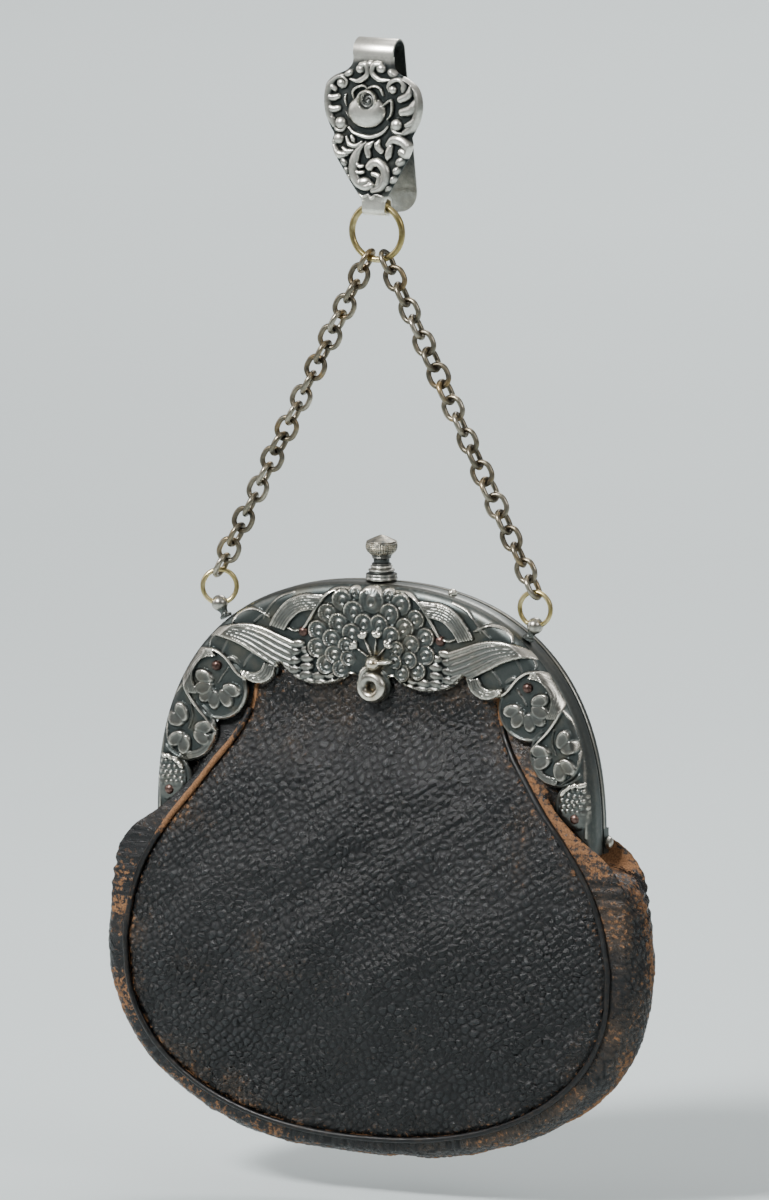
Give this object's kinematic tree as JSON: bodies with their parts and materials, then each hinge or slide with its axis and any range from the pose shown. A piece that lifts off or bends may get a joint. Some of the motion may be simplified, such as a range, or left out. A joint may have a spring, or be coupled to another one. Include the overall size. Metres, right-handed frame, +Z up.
{
  "type": "chatelaine handbag",
  "caption": "Small leather pouch on a hinged arched metal frame with a push knob, hung by chains from a relief-worked belt clip.",
  "frame": {"origin": "where a belt carries the clip, just under the inside of its top bend", "axes": "+Z up along the hanging bag, +X to the wearer's right as the front is seen, -Y towards the viewer of the front"},
  "size_m": [0.1468, 0.028, 0.2762],
  "materials": {
    "silver": "oxidised cast silver, worn bright on the raised work",
    "brass": "worn satin",
    "copper": "dark tarnished copper",
    "leather": "pebbled black with tan wear on the folds",
    "welt": "smooth piping rubbed to tan in places"
  },
  "bodies": {
    "clip": {"belt_clip": "silver"},
    "bag": {"chain_left": "silver", "chain_right": "silver", "chain_lug_left": "silver", "chain_lug_right": "silver", "frame_front": "silver", "frame_back": "silver", "hinge_pin_left": "silver", "hinge_pin_right": "silver", "catch_rivet": "silver", "knob_collar": "silver", "belt_ring": "brass", "lug_ring_left": "brass", "lug_ring_right": "brass", "frame_rivet_top_left": "copper", "frame_rivet_top_right": "copper", "frame_rivet_side_left": "copper", "frame_rivet_side_right": "copper", "frame_rivet_foot_left": "copper", "frame_rivet_foot_right": "copper", "front_panel": "leather", "back_panel": "leather", "gusset": "leather", "front_welt": "welt", "back_welt": "welt"},
    "knob": {"clasp_knob": "silver"}
  },
  "joints": [
    {"name": "bag_swing", "type": "hinge", "parent": "clip", "child": "bag", "pos_m": [0, -0.0011, -0.04005], "axis": [1, 0, 0], "range_deg": [-30, 30]},
    {"name": "knob_press", "type": "slide", "parent": "bag", "child": "knob", "axis": [0, 0, -1], "range_m": [0, 0.0012], "stiffness_N_per_m": 1000}
  ]
}
